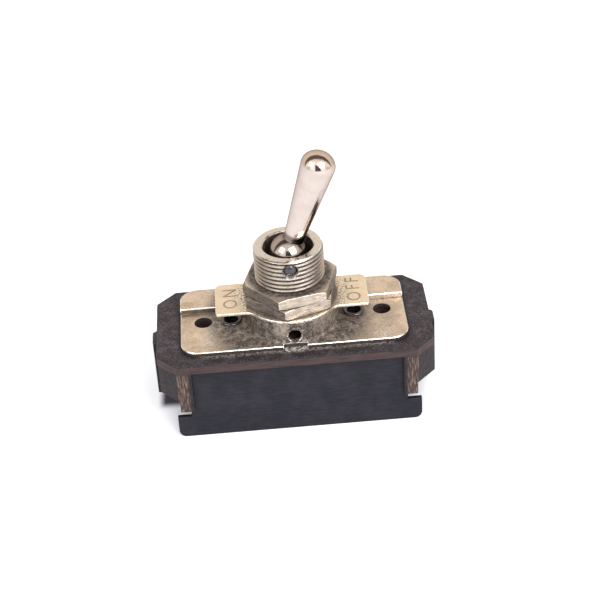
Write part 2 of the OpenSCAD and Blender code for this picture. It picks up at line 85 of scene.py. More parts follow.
# Sizes of the pieces that a box doesn't give
DRUM_R = 8.0 * MM
PLATE_Z = 16.2 * MM
STEP_H = 1.0 * MM
NOTCH_W = 4.0 * MM
NOTCH_D = 0.7 * MM
BORE_R = 4.25 * MM
MOUTH_CHAMFER = 0.25 * MM
COLLAR_T = 0.6 * MM
FOOT_WALL = 0.9 * MM
NUTS_R = 7.7 * MM
BAT_L = 19.95 * MM
BALL_R = 3.5 * MM

# Sizes that only the dressed bushing, pin and words have
THREAD_HIDDEN = 0.6 * MM
THREAD_STEP = 0.05 * MM
PIN_PLAY = 0.05 * MM
SINK_FLARE = 0.45 * MM
SINK_DEPTH = 0.7 * MM
DRILL_PAST = 0.1 * MM
PIN_DOME = 0.8 * MM
LETTER_SPACING = 1.35

# Extent of wear and dirt
FLANGE_FILED = 1.5 * MM
POST_FILED_X = 18.9 * MM
APRON_W = 2.4 * MM
STAIN_W = 3.0 * MM
STAIN_FADE = 5.0 * MM
RUBBED_MARGIN = 1.2 * MM
RIM_RUBBED = 0.6
SCRATCH_TURNS = (0.35, 1.3, 2.4)

# Tint of what the lever mirrors at a grazing angle
LEVER_TINT = "#b8aca4"

# Mesh clean-up, and how finely round shapes are made
WELD = 0.002 * MM
FLAT = math.radians(0.5)
SHARP = math.radians(28)
CREASE = math.radians(40)
THREAD_STEPS = 96
TURNED_STEPS = 48
DOME_STEPS = 6

# A wall's normal rises or falls by less than this
WALL = 0.3

# Floor, lamps, and the room that polished metal mirrors
FLOOR_HALF = 2.0
# Paper, the shade painted under the switch, and the deep shadow painted under the ON end
PAPER, PAPER_SHADE, PAPER_PAINTED_SHADOW = "#f7f7fa", "#6e6a78", "#453f48"
PAPER_SEEN, PAPER_MIRRORED = 0.4, 0.04
SHADE_REACH = 12 * MM
# Inner end of the shadow painted under the ON end
PAINTED_SHADOW_END_X = -16 * MM
RIGHT_LAMP, RIGHT_LAMP_SIZE = Vector((0.24, -0.36, 0.44)), 0.36
LEFT_LAMP, LEFT_LAMP_SIZE = Vector((-0.34, -0.26, 0.44)), 0.3
LAMP_AIM = Vector((0, 0, 0.02))
ROOM_R = 0.75
ROOM_SEGMENTS, ROOM_RINGS = 48, 24
ROOM_FLOOR = 0.02
ROOM_PAINT = "#efe6de"
# A patch's colour, its limits over the top from the front horizon, and those to either side, in degrees
ROOM_PATCHES = (
    ("#f4e8db", 116, 180, 0, 180),
    ("#6e5f56", 93, 118, 0, 180),
    ("#ffffff", 4, 44, 16, 50),
    ("#5a4a58", 4, 46, 0, 17),
)
ROOM_SOFT = math.radians(3)
WINDOW_OVER = math.radians(4), math.radians(44)
WINDOW_ASIDE = math.radians(20), math.radians(50)
SKY_OVER = math.radians(45), math.radians(80)
SKY_SOFT = math.radians(5)
ROOM_GLOW = 1.4
SENSOR = 36.0
CLIP_START = 0.01


def linear(code):
    """An sRGB hex colour as linear red, green and blue."""
    parts = [int(code[i:i + 2], 16) / 255 for i in (1, 3, 5)]
    return tuple(p / 12.92 if p <= 0.04045 else ((p + 0.055) / 1.055) ** 2.4 for p in parts)


def opaque(code):
    """An sRGB hex colour, ready for a socket."""
    return (*linear(code), 1.0)


def length(name, description, millimetres):
    """A length that the user can change."""
    return FloatProperty(name=name, description=description, default=millimetres * MM,
                         min=0.0, unit="LENGTH", precision=6)


def colour(name, description, code):
    """A colour that the user can change."""
    return FloatVectorProperty(name=name, description=description, default=linear(code),
                               subtype="COLOR", size=3, min=0.0, max=1.0)


def angle(name, description, degrees):
    """An angle that the user can change."""
    return FloatProperty(name=name, description=description, default=math.radians(degrees),
                         subtype="ANGLE", unit="ROTATION")


class SwitchSizes(bpy.types.PropertyGroup):
    """Sizes that the dressed pieces add to the solids"""
    moulded_edge: length("Moulded edge", "Rounding on the edges of the base", 0.14)
    sheet_edge: length("Sheet edge", "Rounding on the edges of pressed sheet", 0.12)
    legend_edge: length("Legend edge", "Rounding on the edges of the legend plate", 0.06)
    nut_edge: length("Nut edge", "Rounding on the edges of the hex nuts", 0.08)
    thread_pitch: length("Thread pitch", "Rise of the bushing's thread in one turn", 0.794)
    thread_depth: length("Thread depth", "Depth of the bushing's thread", 0.34)
    letter_height: length("Letter height", "Height of the stamped words", 2.4)
    letter_depth: length("Letter depth", "Depth of the stamped words", 0.12)


class SwitchColours(bpy.types.PropertyGroup):
    """Colours of the finishes"""
    phenolic: colour("Phenolic", "Moulded base", "#2b2528")
    phenolic_dust: colour("Dust", "Dusty specks on the base", "#72676f")
    # Soot also paints the shade on the base's walls and in its corners
    soot_and_shade: colour("Soot", "Black dirt beside the cover", "#150f11")
    filed: colour("Filed phenolic", "Brown band where the flash was filed off", "#4c3a38")
    lint: colour("Lint", "Pale dust caught at the cover's front edge", "#c9beb4")
    filed_bright: colour("Filed posts", "Tan streaks on the filed posts", "#8a7664")
    fibre: colour("Barrier fibre", "Insulating barriers", "#161722")
    fish_paper: colour("Insulator fibre", "Sheet over the contacts", "#7d5233")
    nickel: colour("Nickel", "Clean plating on the sheet", "#f6e6d4")
    nickel_worn: colour("Worn nickel", "Dull plating on the sheet", "#a6937f")
    # Bright nickel also paints the highlight on rubbed edges
    nickel_bright_and_sheen: colour("Bright nickel", "Plating rubbed bright on the edges", "#fffaf2")
    thread: colour("Thread nickel", "Greyed plating of the bushing", "#c6bcb2")
    legend: colour("Legend nickel", "Yellowed plating of the legend plate", "#fff0d8")
    # Grime also paints shade in corners, on cut walls and on the step, and a dark reflection on the lever
    grime_and_shade: colour("Grime", "Dirt in the corners and stains", "#463d39")
    lettering: colour("Lettering", "Thin dirt in the stamped words", "#b09c82")
    brassy: colour("Brass under plating", "Metal that shows where plating is thin", "#c9ab84")
    lever: colour("Lever plating", "Polished plating of the lever", "#e3d5cc")
    steel: colour("Steel", "Pivot pin and spring", "#66676a")
    brass: colour("Brass", "Terminals and rocker", "#c8a258")
    silver: colour("Silver", "Contact points", "#dcdad5")
    tip: colour("Plunger", "Moulded tip of the plunger", "#c2ab7f")


class SwitchStage(bpy.types.PropertyGroup):
    """Camera and light"""
    azimuth: angle("Azimuth", "Camera's turn round the switch from straight ahead", -1.617)
    elevation: angle("Elevation", "Camera's height above the horizon", 34.138)
    roll: angle("Roll", "Camera's turn about its own line of sight", -3.736)
    distance: length("Distance", "Camera's distance from its target", 276.66)
    target: FloatVectorProperty(name="Target", description="Point that the camera looks at",
                                default=(1.286 * MM, 0.0, 19.53 * MM), subtype="TRANSLATION")
    lens: FloatProperty(name="Lens", description="Focal length for a 36 mm sensor", default=97.1)
    right: FloatProperty(name="Right lamp", description="Power of the lamp at the right",
                         default=2.6, unit="POWER")
    left: FloatProperty(name="Left lamp", description="Power of the lamp at the left",
                        default=0.9, unit="POWER")
    fill: FloatProperty(name="Fill", description="Strength of the light from all round",
                        default=0.6)


def sizes():
    """The sizes that the user can change."""
    return bpy.context.scene.switch_sizes


def shade(name):
    """A colour of the finishes, ready for a socket."""
    return (*getattr(bpy.context.scene.switch_colours, name), 1.0)


def add(tree, kind, inputs=None, out=0, **settings):
    """Adds a shader node and returns one of its outputs; inputs maps a socket to a value, or to
    an output that is linked to it."""
    made = tree.nodes.new("ShaderNode" + kind)
    for name, value in settings.items():
        setattr(made, name, value)
    for socket, value in (inputs or {}).items():
        if isinstance(value, bpy.types.NodeSocket):
            tree.links.new(value, made.inputs[socket])
        else:
            made.inputs[socket].default_value = value
    return made.outputs[out] if len(made.outputs) else made


def blank_material(name):
    """A new material without nodes, and its tree."""
    made = bpy.data.materials.new(name)
    made.use_nodes = True
    made.node_tree.nodes.clear()
    return made, made.node_tree


def start_material(name, **sockets):
    """A new material with a principled shader; returns it with its tree, shader and places."""
    made, tree = blank_material(name)
    shader = add(tree, "BsdfPrincipled", sockets).node
    add(tree, "OutputMaterial", {"Surface": shader.outputs[0]})
    return made, tree, shader, add(tree, "TexCoord", out="Object")


def mottle(tree, place, size, low, high, detail=4.0, stretch=(1, 1, 1), turn=0.0):
    """Mask of cloudy patches of about one size: 0 where the noise is under low, 1 where it is over
    high. Stretch makes the patches streaks, and turn turns those."""
    if turn:
        place = add(tree, "VectorRotate", {"Vector": place, "Angle": turn},
                    rotation_type="Z_AXIS")
    if stretch != (1, 1, 1):
        place = add(tree, "Mapping", {"Vector": place, "Scale": [1 / s for s in stretch]})
    noise = add(tree, "TexNoise", {"Vector": place, "Scale": 1 / size, "Detail": detail,
                                   "Roughness": 0.6})
    return add(tree, "MapRange", {0: noise, 1: low, 2: high}, interpolation_type="SMOOTHSTEP")


def band(tree, value, low, high, soft):
    """Mask of the values from low to high, which fades out over soft on both sides."""
    above = add(tree, "MapRange", {0: value, 1: low - soft, 2: low},
                interpolation_type="SMOOTHSTEP")
    below = add(tree, "MapRange", {0: value, 1: high + soft, 2: high},
                interpolation_type="SMOOTHSTEP")
    return add(tree, "Math", {0: above, 1: below}, operation="MULTIPLY")


def crevice(tree, reach, low, high):
    """Mask of inside corners, where dirt gathers and where the colours laid with it also paint shade: 1 where
    little of the sky is seen nearby.
    """
    sky = add(tree, "AmbientOcclusion", {"Distance": reach}, "AO", samples=8, only_local=False)
    return add(tree, "MapRange", {0: sky, 1: high, 2: low}, interpolation_type="SMOOTHSTEP")


def from_axis(tree, place):
    """Distance from the bushing's axis."""
    flat = add(tree, "VectorMath", {0: place, 1: (1, 1, 0)}, operation="MULTIPLY")
    return add(tree, "VectorMath", {0: flat}, "Value", operation="LENGTH")


def rise(tree):
    """How far a face looks upwards: 1 for level, 0 for a wall, -1 for an underside."""
    return add(tree, "SeparateXYZ", {0: add(tree, "TexCoord", out="Normal")}, "Z")


def scratches(tree, place, width, reach):
    """Mask of fine scratches in three directions."""
    mask = 0.0
    for turn in SCRATCH_TURNS:
        lines = mottle(tree, place, width, 0.66, 0.72, 2.0, (reach / width, 1, 1), turn)
        mask = add(tree, "Math", {0: mask, 1: lines}, operation="MAXIMUM")
    return mask


def coats(tree, ground, *layers):
    """Colours laid over a ground; a layer is a colour's name, and the masks and shares whose product
    says how much of it covers what is below."""
    surface = shade(ground)
    for tone, cover, *masks in layers:
        for mask in masks:
            cover = add(tree, "Math", {0: cover, 1: mask}, operation="MULTIPLY")
        surface = add(tree, "Mix", {0: cover, 6: surface, 7: shade(tone)}, 2, data_type="RGBA")
    return surface


def dress(tree, shader, surface, spread, rough, height, depth):
    """Links a colour, a roughness that a mask moves between two values, and a relief."""
    tree.links.new(surface, shader.inputs["Base Color"])
    dull = add(tree, "MapRange", {0: spread, 3: rough[0], 4: rough[1]})
    tree.links.new(dull, shader.inputs["Roughness"])
    normal = add(tree, "Bump", {"Height": height, "Distance": depth, "Strength": 1.0})
    tree.links.new(normal, shader.inputs["Normal"])


def phenolic():
    """Black phenolic, compression moulded: dull, dusty, brown where its flash was filed off; its walls and corners
    carry painted shade.
    """
    made, tree, shader, place = start_material("moulded_phenolic", **{"Specular IOR Level": 0.35})
    x, y, z = add(tree, "SeparateXYZ", {0: place}).node.outputs
    level = rise(tree)
    upright = band(tree, level, -WALL, WALL, 0.2)
    depth = add(tree, "Math", {0: y}, operation="ABSOLUTE")
    across = add(tree, "Math", {0: x}, operation="ABSOLUTE")
    patches = mottle(tree, place, 2.2 * MM, 0.42, 0.68)
    # The real specks are finer; these are as fine as the picture shows
    specks = mottle(tree, place, 0.3 * MM, 0.5, 0.68, 2.0)
    dark = mottle(tree, place, 0.4 * MM, 0.52, 0.7, 2.0)
    dirt_and_shade = crevice(tree, 1.6 * MM, 0.5, 0.95)

    # Filed face of the flange, all round
    flange = band(tree, z, FLANGE_Z, FLANGE_Z + FLANGE_FILED, 0.15 * MM)
    rubbed = mottle(tree, place, 0.3 * MM, 0.2, 0.6, 4.0, (10, 10, 1))

    # Darker margin of the top, in front of the cover and behind it
    apron = band(tree, depth, BASE_HIGH.y - APRON_W, FAR, 0.6 * MM)

    # Filed outer part of the corner posts' faces, streaked up and down
    face = band(tree, depth, BASE_HIGH.y - 0.3 * MM, FAR, 0.1 * MM)
    posts = add(tree, "Math", {0: face, 1: band(tree, z, 0, FLANGE_Z - 0.1 * MM, 0.1 * MM)},
                operation="MULTIPLY")
    outside = band(tree, across, POST_FILED_X, FAR, 0.7 * MM)
    streaks = mottle(tree, place, 0.26 * MM, 0.46, 0.66, 4.0, (1, 1, 7))

    # Lint along the cover's front edge and in its notch
    lint = band(tree, across, 0, NOTCH_W / 2 - 0.5 * MM, 1.0 * MM)
    lint = add(tree, "MapRange", {0: lint, 3: 0.45, 4: 1.0})
    for mask in (mottle(tree, place, 0.45 * MM, 0.36, 0.62, 4.0),
                 band(tree, y, COVER_LOW.y, COVER_LOW.y + NOTCH_D, 1.1 * MM),
                 band(tree, across, 0, COVER_HIGH.x - 4 * MM, 2 * MM),
                 band(tree, level, 0.7, FAR, 0.2)):
        lint = add(tree, "Math", {0: lint, 1: mask}, operation="MULTIPLY")

    surface = coats(tree, "phenolic",
                    ("phenolic_dust", patches, 0.35),
                    ("phenolic_dust", specks, 0.5),
                    ("soot_and_shade", dark, 0.5),
                    # Painted shade on the walls
                    ("soot_and_shade", upright, 0.5),
                    ("soot_and_shade", apron, 0.2),
                    ("soot_and_shade", apron, dark, 0.5),
                    # Dirt and painted shade in the corners
                    ("soot_and_shade", dirt_and_shade, 0.85),
                    ("filed", flange, upright, rubbed),
                    ("soot_and_shade", posts, 0.35),
                    ("filed", posts, outside, 0.6),
                    ("filed_bright", posts, outside, streaks),
                    ("lint", lint))
    dress(tree, shader, surface, patches, (0.5, 0.72), specks, 0.03 * MM)
    return made


def barrier_fibre():
    """Vulcanised fibre sheet, calendered: smooth, blue-black, with a faint lie of fibres."""
    made, tree, shader, place = start_material("vulcanised_fibre", **{"Specular IOR Level": 0.3})
    lie = mottle(tree, place, 0.35 * MM, 0.35, 0.7, 3.0, (6, 1, 1))
    clouds = mottle(tree, place, 5 * MM, 0.4, 0.7)
    surface = coats(tree, "fibre", ("phenolic_dust", lie, 0.06), ("phenolic_dust", clouds, 0.08))
    dress(tree, shader, surface, clouds, (0.5, 0.62), lie, 0.004 * MM)
    return made


def plated(name, ground, worn_share, rough, corner_reach, stain_and_shade=None, rub=1.0):
    """Old nickel plating: warm and dull in patches, bright on rubbed edges with a painted highlight, dirty in
    corners, where shade is painted too.
    A piece may add a mask of its own stains and painted shade, and rub says how bright its edges are."""
    made, tree, shader, place = start_material(name, Metallic=1.0)
    patches = mottle(tree, place, 3.0 * MM, 0.35, 0.66, 6.0)
    fine = mottle(tree, place, 0.25 * MM, 0.52, 0.72, 3.0)
    grain = mottle(tree, place, 0.4 * MM, 0.4, 0.6, 3.0)
    lines = scratches(tree, place, 0.12 * MM, 4 * MM)

    # Edges are rubbed here and there, and painted bright there as a highlight
    edge = add(tree, "Attribute", out="Fac", attribute_name="rubbed")
    for mask in (mottle(tree, place, 0.7 * MM, 0.2, 0.42), rub):
        edge = add(tree, "Math", {0: edge, 1: mask}, operation="MULTIPLY")

    # Dirt and painted shade in corners dull the metal; the dirty parts have black specks
    corners = crevice(tree, corner_reach, 0.35, 0.85)
    dirt_and_shade = add(tree, "Math", {0: corners, 1: mottle(tree, place, 0.8 * MM, 0.2, 0.6)},
               operation="MULTIPLY")
    if stain_and_shade:
        dirt_and_shade = add(tree, "Math", {0: dirt_and_shade, 1: stain_and_shade(tree, place)}, operation="MAXIMUM")
    black = mottle(tree, place, 0.45 * MM, 0.5, 0.66, 3.0)
    surface = coats(tree, ground,
                    ("nickel_worn", patches, worn_share),
                    ("nickel_worn", grain, 0.6 * worn_share),
                    ("brassy", fine, 0.7 * worn_share),
                    ("nickel_bright_and_sheen", lines, 0.35),
                    ("grime_and_shade", dirt_and_shade),
                    ("soot_and_shade", dirt_and_shade, black, 0.6),
                    ("nickel_bright_and_sheen", edge))
    bare = add(tree, "Math", {0: edge, 1: dirt_and_shade}, operation="SUBTRACT")
    bare = add(tree, "MapRange", {0: bare, 1: -1.0, 2: 0.0, 3: 0.1, 4: 1.0})
    tree.links.new(bare, shader.inputs["Metallic"])
    spread = add(tree, "Math", {0: patches, 1: 0.5}, operation="MULTIPLY")
    spread = add(tree, "Math", {0: spread, 1: dirt_and_shade}, operation="MAXIMUM")
    spread = add(tree, "Math", {0: spread, 1: edge}, operation="SUBTRACT")
    height = add(tree, "Math", {0: lines, 1: 0.5, 2: fine}, operation="MULTIPLY_ADD")
    dress(tree, shader, surface, spread, rough, height, 0.01 * MM)
    return made


def cover_stain_and_shade(tree, place):
    """Brown-grey darkening round the foot of the drum, runs down its wall, a film on the flat, and
    painted shade on the cut edges and the step."""
    x, _, z = add(tree, "SeparateXYZ", {0: place}).node.outputs
    reach = from_axis(tree, place)
    grains = mottle(tree, place, 0.35 * MM, 0.36, 0.56, 3.0)
    grains = add(tree, "MapRange", {0: grains, 3: 0.72, 4: 1.0})

    # It reaches further out on the ON side
    spread = add(tree, "MapRange", {0: x, 1: -6 * MM, 2: -2 * MM, 3: -1.2 * MM, 4: 0.0})
    spread = add(tree, "Math", {0: reach, 1: spread}, operation="ADD")
    near = band(tree, spread, 0, DRUM_R + STAIN_W, STAIN_FADE)
    cloud = mottle(tree, place, 1.1 * MM, 0.3, 0.58, 6.0)
    cloud = add(tree, "MapRange", {0: cloud, 3: 0.55, 4: 1.0})
    foot = add(tree, "Math", {0: near, 1: cloud}, operation="MULTIPLY")

    # A thin film on the flat leaves the rubbed margins bright
    film = mottle(tree, place, 0.3 * MM, 0.4, 0.64, 2.0)
    film = add(tree, "MapRange", {0: film, 3: 0.1, 4: 0.4})
    for mask in (band(tree, x, COVER_LOW.x + 5.0 * MM, COVER_HIGH.x - 3.2 * MM, 2.0 * MM),
                 band(tree, z, 0, PLATE_Z + 0.2 * MM, 0.1 * MM)):
        film = add(tree, "Math", {0: film, 1: mask}, operation="MULTIPLY")

    # Painted shade on the walls of the holes and of the outline, below the rubbed edge
    upright = band(tree, rise(tree), -WALL, WALL, 0.2)
    cut = add(tree, "Math", {0: upright, 1: band(tree, z, 0, PLATE_Z - 0.1 * MM, 0.1 * MM)},
              operation="MULTIPLY")

    # Most of the wall is dirty; a patch on the ON side of its hole was wiped, and the OFF side a little
    runs = mottle(tree, place, 1.2 * MM, 0.36, 0.58, 6.0, (1, 1, 3))
    runs = add(tree, "MapRange", {0: runs, 3: 0.3, 4: 1.0})
    wall = band(tree, reach, 0, DRUM_R + 0.3 * MM, 0.3 * MM)
    runs = add(tree, "Math", {0: wall, 1: runs}, operation="MULTIPLY")
    thinner = add(tree, "MapRange", {0: band(tree, x, 4 * MM, FAR, 2 * MM), 3: 0.0, 4: 0.5})
    wiped = add(tree, "Math", {0: band(tree, x, -2.8 * MM, -1.6 * MM, 1.2 * MM), 1: thinner},
                operation="MAXIMUM")
    for mask in (wall, band(tree, z, PLATE_Z + 1.8 * MM, FAR, 1.4 * MM),
                 mottle(tree, place, 0.4 * MM, 0.3, 0.56, 3.0)):
        wiped = add(tree, "Math", {0: wiped, 1: mask}, operation="MULTIPLY")
    wiped = add(tree, "MapRange", {0: wiped, 3: 1.0, 4: 0.5})

    # Painted shade on the step's riser: dark at its ON end, it fades towards the other
    riser_shade = add(tree, "MapRange", {0: x, 1: -8 * MM, 2: 8 * MM, 3: 0.9, 4: 0.25})
    for mask in (band(tree, z, PLATE_Z + 0.05 * MM, PLATE_Z + STEP_H - 0.25 * MM, 0.05 * MM),
                 band(tree, reach, DRUM_R + 0.6 * MM, FAR, 0.1 * MM)):
        riser_shade = add(tree, "Math", {0: riser_shade, 1: mask}, operation="MULTIPLY")

    stain_and_shade = add(tree, "Math", {0: foot, 1: runs}, operation="MAXIMUM")
    for mask in (grains, wiped):
        stain_and_shade = add(tree, "Math", {0: stain_and_shade, 1: mask}, operation="MULTIPLY")
    for mask in (film, riser_shade, cut):
        stain_and_shade = add(tree, "Math", {0: stain_and_shade, 1: mask}, operation="MAXIMUM")
    return stain_and_shade


def legend_darkening(tree, place):
    """Fine dirty specks that spread over the legend from the nuts, and a dark ring right beside them."""
    reach = from_axis(tree, place)
    near = band(tree, reach, 0, NUTS_R - 0.1 * MM, 3.6 * MM)
    specks = mottle(tree, place, 0.28 * MM, 0.44, 0.62, 2.0)
    specks = add(tree, "Math", {0: near, 1: specks}, operation="MULTIPLY")
    beside = add(tree, "Math", {0: band(tree, reach, 0, NUTS_R, 0.6 * MM), 1: 0.85},
                 operation="MULTIPLY")
    return add(tree, "Math", {0: specks, 1: beside}, operation="MAXIMUM")


def thread_darkening(tree, place):
    """Darker roots of the thread, a darker bore, and dirty specks on the rim."""
    z = add(tree, "SeparateXYZ", {0: place}, "Z")
    reach = from_axis(tree, place)
    root = band(tree, reach, THREAD_R - FAR, THREAD_R - 0.85 * sizes().thread_depth,
                0.4 * sizes().thread_depth)
    flank = band(tree, z, 0, BUSHING_HIGH.z - MOUTH_CHAMFER - 0.1 * MM, 0.05 * MM)
    gaps = mottle(tree, place, 1.2 * MM, 0.3, 0.55)
    gaps = add(tree, "MapRange", {0: gaps, 3: 0.7, 4: 1.0})
    for mask in (flank, gaps):
        root = add(tree, "Math", {0: root, 1: mask}, operation="MULTIPLY")
    bore = add(tree, "Math", {0: band(tree, reach, 0, BORE_R + 0.1 * MM, 0.1 * MM), 1: 0.5},
               operation="MULTIPLY")
    rim = add(tree, "Math", {0: band(tree, z, BUSHING_HIGH.z - 0.05 * MM, FAR, 0.05 * MM),
                             1: mottle(tree, place, 0.3 * MM, 0.48, 0.62, 3.0)},
              operation="MULTIPLY")
    dirt_and_shade = root
    for mask in (bore, rim):
        dirt_and_shade = add(tree, "Math", {0: dirt_and_shade, 1: mask}, operation="MAXIMUM")
    return dirt_and_shade


def nut_dirt_and_shade(tree, place):
    """Brown film on the nuts' tops, painted shade on all sides but the front one, a dirty joint."""
    facing = add(tree, "TexCoord", out="Normal")
    x, _, z = add(tree, "SeparateXYZ", {0: facing}).node.outputs
    height = add(tree, "SeparateXYZ", {0: place}, "Z")

    # The film is thickest beside the thread
    tops = mottle(tree, place, 0.5 * MM, 0.3, 0.6, 5.0)
    tops = add(tree, "MapRange", {0: tops, 3: 0.65, 4: 1.0})
    for mask in (band(tree, from_axis(tree, place), 0, NUTS_R - 1.1 * MM, 1.4 * MM),
                 band(tree, z, 0.85, FAR, 0.1)):
        tops = add(tree, "Math", {0: tops, 1: mask}, operation="MULTIPLY")

    # The sides are brushed along their length, and those that face left or right get painted shade
    brushed = mottle(tree, place, 0.14 * MM, 0.35, 0.7, 2.0, (12, 12, 1))
    painted_side_shade = add(tree, "MapRange", {0: brushed, 3: 0.75, 4: 1.0})
    sides = add(tree, "Math", {0: band(tree, x, -FAR, -0.35, 0.2), 1: band(tree, x, 0.7, FAR, 0.2)},
                operation="MAXIMUM")
    painted_side_shade = add(tree, "Math", {0: painted_side_shade, 1: sides}, operation="MULTIPLY")
    scored = add(tree, "MapRange", {0: brushed, 3: 0.0, 4: 0.5})
    scored = add(tree, "Math", {0: scored, 1: band(tree, z, -WALL, WALL, 0.1)},
                 operation="MULTIPLY")
    dirt_and_shade = band(tree, height, NUTS_MIDDLE, NUTS_MIDDLE + 0.14 * MM, 0.06 * MM)
    for mask in (tops, painted_side_shade, scored):
        dirt_and_shade = add(tree, "Math", {0: dirt_and_shade, 1: mask}, operation="MAXIMUM")
    return dirt_and_shade


def lever_plating():
    """Polished nickel-chrome plate: mirror bright, finely scratched, brassy where thumbs rub it; a dark reflection
    is painted on its right side near the ball.
    """
    made, tree, shader, place = start_material(
        "polished_plating", Metallic=1.0, **{"Specular Tint": opaque(LEVER_TINT)})
    along = add(tree, "VectorMath", {0: place, 1: LEVER_AXIS}, "Value", operation="DOT_PRODUCT")
    neck = LEVER_AXIS.dot(PIVOT) + BALL_R
    tip = LEVER_AXIS.dot(PIVOT) + BAT_L
    thumbed = band(tree, along, tip - 1.2 * MM, FAR, 2.2 * MM)
    facing = add(tree, "TexCoord", out="Normal")
    side = add(tree, "SeparateXYZ", {0: facing}, "X")
    # A dark reflection painted on the right side of the shaft, just past the ball
    under = add(tree, "Math", {0: band(tree, side, 0.55, FAR, 0.12),
                               1: band(tree, along, neck, neck + 5.5 * MM, 2.5 * MM)},
                operation="MULTIPLY")
    groove = band(tree, along, neck - 0.2 * MM, neck + 0.4 * MM, 0.7 * MM)
    from_pivot = add(tree, "VectorMath", {0: place, 1: PIVOT}, "Value", operation="DISTANCE")
    ball = band(tree, from_pivot, 0, BALL_R + 0.1 * MM, 0.1 * MM)
    film = mottle(tree, place, 1.8 * MM, 0.4, 0.7)
    lines = scratches(tree, place, 0.1 * MM, 3 * MM)
    dirt_and_shade = crevice(tree, 1.0 * MM, 0.3, 0.7)
    surface = coats(tree, "lever",
                    ("brassy", thumbed, 0.12),
                    ("nickel_worn", film, 0.15),
                    ("steel", ball, 0.45),
                    ("grime_and_shade", under, 0.85),
                    ("grime_and_shade", groove, 0.7),
                    ("grime_and_shade", dirt_and_shade, 0.6))
    spread = add(tree, "Math", {0: film, 1: 0.5}, operation="MULTIPLY")
    spread = add(tree, "Math", {0: spread, 1: lines}, operation="MAXIMUM")
    dress(tree, shader, surface, spread, (0.08, 0.2), lines, 0.002 * MM)
    return made


def plain_metal(name, tone, rough, film_share=0.35):
    """Bare metal, tarnished in a film."""
    made, tree, shader, place = start_material(name, Metallic=1.0)
    film = mottle(tree, place, 0.9 * MM, 0.4, 0.7)
    grain = mottle(tree, place, 0.2 * MM, 0.4, 0.7)
    surface = coats(tree, tone, ("grime_and_shade", film, film_share))
    dress(tree, shader, surface, film, rough, grain, 0.004 * MM)
    return made


def plain_insulator(name, tone, grain):
    """Moulded or pressed insulation with a fine grain."""
    made, tree, shader, place = start_material(name)
    specks = mottle(tree, place, grain, 0.35, 0.7)
    dress(tree, shader, coats(tree, tone, ("grime_and_shade", specks, 0.4)), specks, (0.55, 0.7), specks,
          0.02 * MM)
    return made


def stamped_grime():
    """Thin dirt in the stamped words: dull, only a little darker than the plating."""
    made, tree, shader, place = start_material("packed_grime")
    specks = mottle(tree, place, 0.2 * MM, 0.35, 0.7)
    dress(tree, shader, coats(tree, "lettering", ("grime_and_shade", specks, 0.25)), specks, (0.7, 0.85),
          specks, 0.01 * MM)
    return made


def bare_copy(node):
    """A CAD node's mesh with its loose triangles merged and its flat faces made whole."""
    bm = bmesh.new()
    bm.from_mesh(frame["nodes"][node].data)
    bmesh.ops.remove_doubles(bm, verts=bm.verts, dist=WELD)
    bmesh.ops.dissolve_limit(bm, angle_limit=FLAT, verts=bm.verts, edges=bm.edges)
    return bm


def soften(bm, radius, segments=2, worn=lambda place: True):
    """Rounds the sharp outer edges where worn says so and marks the new faces as rubbed."""
    rubbed = bm.faces.layers.float.new("rubbed")
    sharp = [e for e in bm.edges
             if e.is_manifold and e.is_convex and e.calc_face_angle() > SHARP
             and worn((e.verts[0].co + e.verts[1].co) / 2)]
    made = bmesh.ops.bevel(bm, geom=sharp, offset=radius, offset_type="OFFSET", affect="EDGES",
                           segments=segments, profile=0.5, material=-1, clamp_overlap=False)
    for face in made["faces"]:
        face[rubbed] = 1.0
    bmesh.ops.remove_doubles(bm, verts=bm.verts, dist=WELD)


def finish_piece(bm, name, slot, finish, *nodes, body="body"):
    """Makes the piece's object, with its finish, in place of the CAD nodes that it stands for."""
    for edge in bm.edges:
        edge.smooth = edge.calc_face_angle(math.pi) < CREASE
    for face in bm.faces:
        face.smooth = True
    mesh = bpy.data.meshes.new(name)
    bm.to_mesh(mesh)
    bm.free()
    stale = mesh.attributes.get("custom_normal")
    if stale:
        mesh.attributes.remove(stale)
    mesh.materials.append(finish)
    made = bpy.data.objects.new(name, mesh)
    bpy.context.scene.collection.objects.link(made)
    made.modifiers.new("even_shading", "WEIGHTED_NORMAL").keep_sharp = True
    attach(made, body)
    if nodes:
        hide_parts(*nodes)
    return made


def finish_nodes(finish, *nodes):
    """Gives CAD nodes that keep their shape a finish."""
    for node in nodes:
        frame["nodes"][node].material_slots[0].material = finish


def carve(piece, cutter_bm, finish):
    """Cuts a shape out of a piece; the cut's walls take the given finish."""
    mesh = bpy.data.meshes.new("cutter")
    cutter_bm.to_mesh(mesh)
    cutter_bm.free()
    mesh.materials.append(finish)
    cutter = bpy.data.objects.new("cutter", mesh)
    bpy.context.scene.collection.objects.link(cutter)
    cut = piece.modifiers.new("cut", "BOOLEAN")
    cut.operation = "DIFFERENCE"
    cut.solver = "EXACT"
    cut.material_mode = "TRANSFER"
    cut.object = cutter
    piece.modifiers.move(len(piece.modifiers) - 1, 0)
    shading = piece.modifiers["even_shading"]
    shading.show_viewport = False
    graph = bpy.context.evaluated_depsgraph_get()
    result = bpy.data.meshes.new_from_object(piece.evaluated_get(graph), depsgraph=graph,
                                             preserve_all_data_layers=True)
    shading.show_viewport = True
    piece.modifiers.remove(cut)
    piece.data = result
    result.name = piece.name
    result.set_sharp_from_angle(angle=CREASE)
    bpy.data.objects.remove(cutter)


